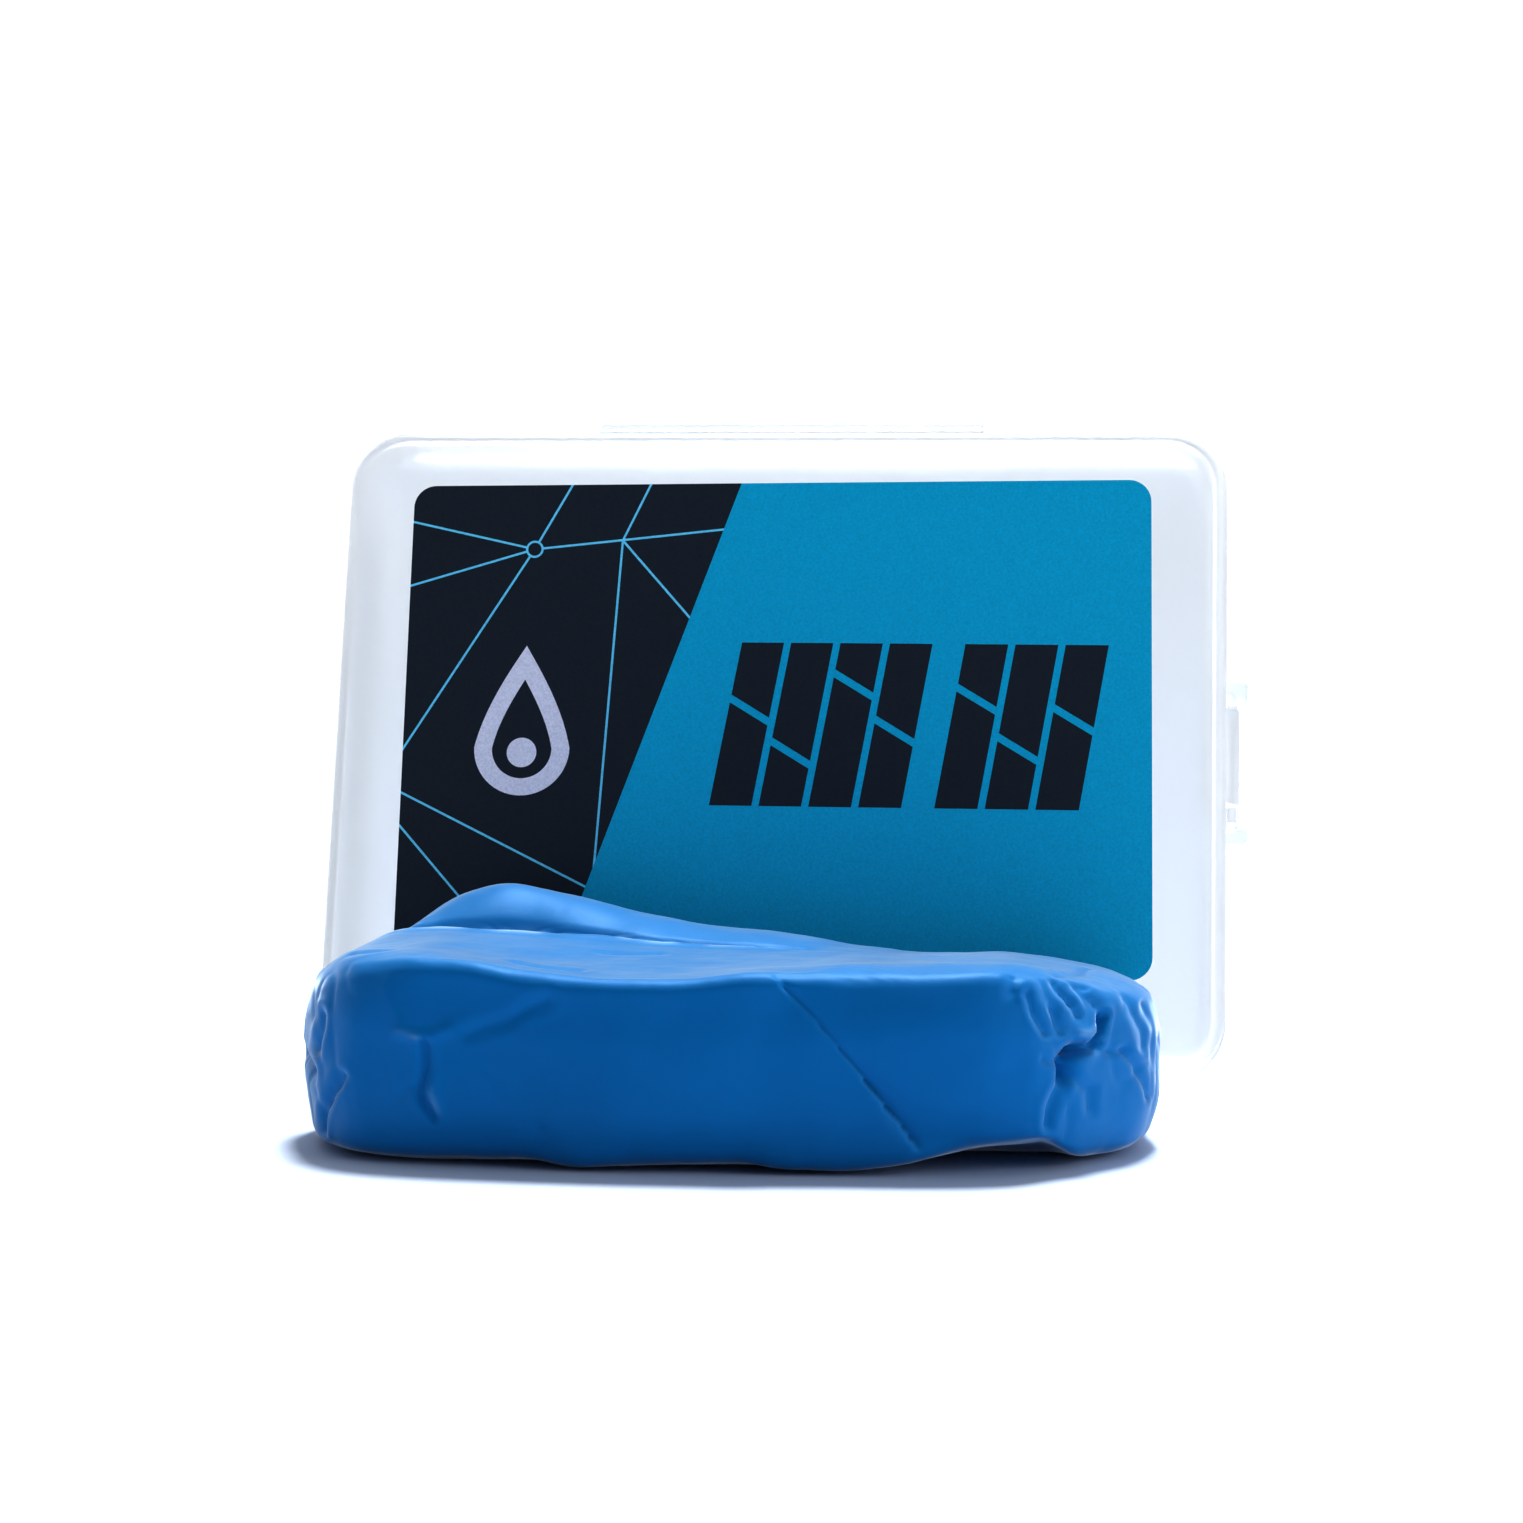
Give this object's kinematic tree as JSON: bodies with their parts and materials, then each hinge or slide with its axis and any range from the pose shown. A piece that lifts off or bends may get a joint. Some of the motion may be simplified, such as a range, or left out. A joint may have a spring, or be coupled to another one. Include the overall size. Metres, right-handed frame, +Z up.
{
  "type": "clay bar",
  "caption": "Kneaded detailing clay bar of pressed-together slabs, with its hinged translucent plastic storage case standing behind it, latch on one short side.",
  "frame": {"origin": "bottom centre of the whole object's box, on the surface it stands on", "axes": "+X along the case's long edge towards the latch, +Y from the clay towards the back of the case, +Z up"},
  "size_m": [0.1154, 0.0886, 0.0859],
  "materials": {
    "polypropylene": "natural, slightly milky moulded polypropylene, satin gloss",
    "printed_film": "printed satin film",
    "clay": "waxy, satin, finger-smoothed"
  },
  "bodies": {
    "case_lid": {"lid_shell": "polypropylene", "label": "printed_film", "hinge_web": "polypropylene", "latch_web": "polypropylene"},
    "case_tray": {"tray_shell": "polypropylene"},
    "latch": {"latch_flap": "polypropylene"},
    "clay_bar": {"clay_front_slab": "clay", "clay_back_slab": "clay"}
  },
  "joints": [
    {"name": "case_hinge", "type": "hinge", "parent": "case_lid", "child": "case_tray", "pos_m": [-0.00137, 0.0299, 0.08533], "axis": [1, 0, 0], "range_deg": [0, 175], "deforming": ["hinge_web"]},
    {"name": "latch_hinge", "type": "hinge", "parent": "case_lid", "child": "latch", "pos_m": [0.05586, 0.02022, 0.04256], "axis": [0, -0.2173, -0.9761], "range_deg": [0, 100], "deforming": ["latch_web"]},
    {"name": "clay_lift", "type": "slide", "parent": "case_lid", "child": "clay_bar", "axis": [0, 0, 1], "range_m": [0, 0.12]}
  ]
}
